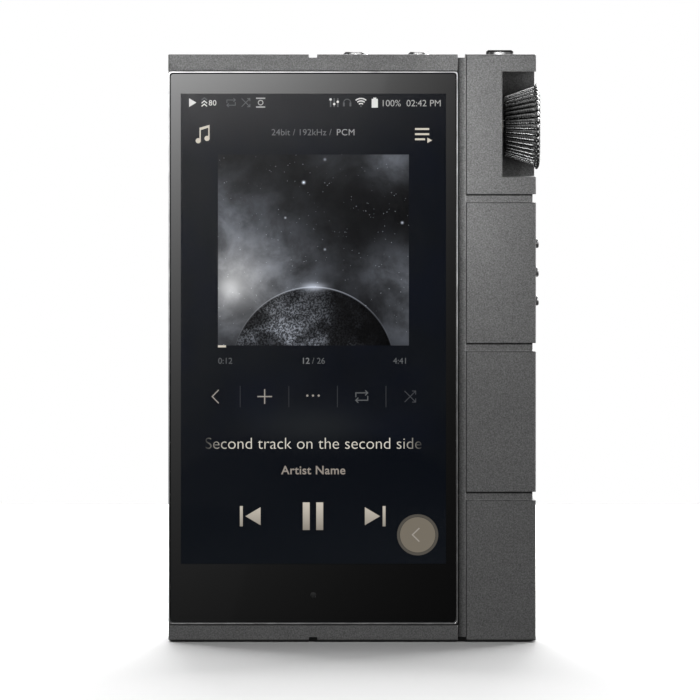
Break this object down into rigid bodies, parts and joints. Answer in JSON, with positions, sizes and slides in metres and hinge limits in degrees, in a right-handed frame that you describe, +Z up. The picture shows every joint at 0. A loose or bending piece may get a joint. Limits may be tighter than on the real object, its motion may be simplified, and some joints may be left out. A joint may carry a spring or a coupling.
{
  "type": "digital audio player",
  "caption": "Pocket digital audio player: milled metal case with a block grid, tall touch screen, ribbed volume wheel, power and side buttons, round jacks on top.",
  "frame": {"origin": "centre of the bottom face, on the surface that the player stands on", "axes": "+Z up along the height, -Y out of the screen, +X to the side with the wheel and the side buttons"},
  "size_m": [0.0896, 0.0316, 0.141],
  "materials": {
    "blasted_metal": "fine bead-blasted, dark natural anodised",
    "frame_metal": "bright cut and polished rim",
    "cover_glass": "clear toughened glass with a black printed border",
    "screen": "lit screen, dark blue-black",
    "diffuser": "translucent white",
    "wheel_metal": "dark anodised, cut ribs",
    "button_metal": "polished",
    "collar_metal": "polished, turned",
    "steel": "satin",
    "brass": "turned",
    "black_plastic": "moulded, matte",
    "circuit_board": "green solder mask",
    "flex_film": "amber film",
    "battery_wrap": "black wrap",
    "foam": "soft foam"
  },
  "bodies": {
    "case": {"main_housing": "blasted_metal", "rear_cover": "blasted_metal", "rear_screw_1": "steel", "rear_screw_2": "steel", "rear_screw_3": "steel", "rear_screw_4": "steel", "display_frame": "frame_metal", "cover_glass": "cover_glass", "display_panel": "screen", "backlight": "diffuser", "display_flex": "flex_film", "mid_plate": "steel", "battery_pad": "foam", "battery_pack": "battery_wrap", "main_board": "circuit_board", "processor_shield": "steel", "board_connector": "black_plastic", "amplifier_board": "circuit_board", "amplifier_shield": "steel", "wifi_antenna": "circuit_board", "port_board": "circuit_board", "usb_c_shell": "steel", "usb_c_tongue": "black_plastic", "card_slot": "steel", "headphone_collar": "collar_metal", "headphone_jack": "black_plastic", "balanced_collar": "collar_metal", "balanced_jack": "black_plastic", "xlr_shell": "steel", "xlr_insert": "black_plastic", "wheel_bush": "brass", "wheel_light_ring": "diffuser", "rotary_encoder": "black_plastic", "encoder_board": "circuit_board", "power_switch": "black_plastic", "side_switch_board": "circuit_board", "next_switch": "black_plastic", "play_switch": "black_plastic", "previous_switch": "black_plastic"},
    "wheel": {"volume_wheel": "wheel_metal", "wheel_shaft": "steel"},
    "power": {"power_button": "button_metal"},
    "next": {"next_button": "button_metal"},
    "play": {"play_button": "button_metal"},
    "previous": {"previous_button": "button_metal"}
  },
  "joints": [
    {"name": "wheel_turn", "type": "hinge", "parent": "case", "child": "wheel", "pos_m": [0.03583, -0.001, 0.1227], "axis": [1, 0, 0], "continuous": true},
    {"name": "power_press", "type": "slide", "parent": "case", "child": "power", "axis": [0, 0, -1], "range_m": [0, 0.0004], "stiffness_N_per_m": 600},
    {"name": "next_press", "type": "slide", "parent": "case", "child": "next", "axis": [-1, 0, 0], "range_m": [0, 0.0003], "stiffness_N_per_m": 600},
    {"name": "play_press", "type": "slide", "parent": "case", "child": "play", "axis": [-1, 0, 0], "range_m": [0, 0.0003], "stiffness_N_per_m": 600},
    {"name": "previous_press", "type": "slide", "parent": "case", "child": "previous", "axis": [-1, 0, 0], "range_m": [0, 0.0003], "stiffness_N_per_m": 600}
  ]
}
